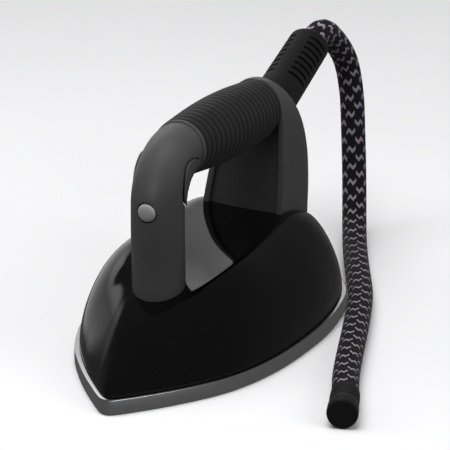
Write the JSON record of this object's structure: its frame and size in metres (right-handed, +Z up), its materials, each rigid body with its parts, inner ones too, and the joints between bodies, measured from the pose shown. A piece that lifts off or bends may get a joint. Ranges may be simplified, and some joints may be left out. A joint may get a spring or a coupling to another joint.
{
  "type": "steam generator iron",
  "caption": "Hand iron of a steam generator: pointed soleplate, black shell, closed loop handle with ribbed grip, steam trigger and cord boot.",
  "frame": {"origin": "on the flat ironing face, midway between the nose tip and the heel, on the centre plane", "axes": "+Z up out of the ironing face, -Y towards the pointed nose, +X to the iron's left"},
  "size_m": [0.1871, 0.3153, 0.1372],
  "materials": {
    "sole_alloy": "polished rim, satin side and ironing face",
    "plate_steel": "plain satin steel",
    "fitting_brass": "machined",
    "shell_gloss": "high gloss black",
    "handle_satin": "charcoal, fine satin",
    "inner_plastic": "dark, fine texture",
    "button_silver": "glossy grey",
    "collar_grey": "smooth grey",
    "grip_rubber": "ribbed, matt",
    "boot_rubber": "matt",
    "seal_silicone": "matt red-brown silicone",
    "tube_silicone": "translucent grey silicone",
    "cord_braid": "black braid with lilac-grey flecks",
    "wire_red": "matt insulation",
    "wire_green": "matt insulation",
    "wire_blue": "matt insulation"
  },
  "bodies": {
    "iron": {"soleplate": "sole_alloy", "chamber_gasket": "seal_silicone", "steam_chamber_lid": "plate_steel", "lid_screw_1": "plate_steel", "lid_screw_2": "plate_steel", "lid_screw_3": "plate_steel", "lid_screw_4": "plate_steel", "heating_element": "plate_steel", "thermostat": "plate_steel", "thermal_fuse": "plate_steel", "heat_shield": "inner_plastic", "body_shell": "shell_gloss", "handle_post": "handle_satin", "trigger_pin": "plate_steel", "trigger_spring": "plate_steel", "trigger_switch": "inner_plastic", "button_switch": "inner_plastic", "collar_ring": "collar_grey", "handle_core": "inner_plastic", "grip_sleeve": "grip_rubber", "column_casing": "handle_satin", "column_front_panel": "inner_plastic", "rear_cover": "handle_satin", "cover_screw": "plate_steel", "cord_boot": "boot_rubber", "cord_clamp": "inner_plastic", "cord": "cord_braid", "cord_end_sleeve": "boot_rubber", "steam_inlet_fitting": "fitting_brass", "steam_tube": "tube_silicone", "terminal_block": "inner_plastic", "wire_live": "wire_red", "wire_earth": "wire_green", "wire_neutral": "wire_blue", "control_wire": "wire_blue"},
    "trigger": {"steam_trigger": "handle_satin"},
    "plunger": {"switch_plunger": "plate_steel"},
    "button": {"front_button": "button_silver"}
  },
  "joints": [
    {"name": "trigger_hinge", "type": "hinge", "parent": "iron", "child": "trigger", "pos_m": [0, -0.036, 0.118], "axis": [-1, 0, 0], "range_deg": [0, 5], "stiffness_Nm_per_rad": 0.6, "springref_deg": -5.73},
    {"name": "switch_plunger_slide", "type": "slide", "parent": "iron", "child": "plunger", "axis": [0, -1, 0], "range_m": [0, 0.0012]},
    {"name": "front_button_slide", "type": "slide", "parent": "iron", "child": "button", "axis": [0, 1, 0], "range_m": [0, 0.001], "stiffness_N_per_m": 1200, "springref_m": -0.0006}
  ],
  "couplings": [
    {"joint": "switch_plunger_slide", "follows": "trigger_hinge", "m_per_rad": 0.0114}
  ]
}
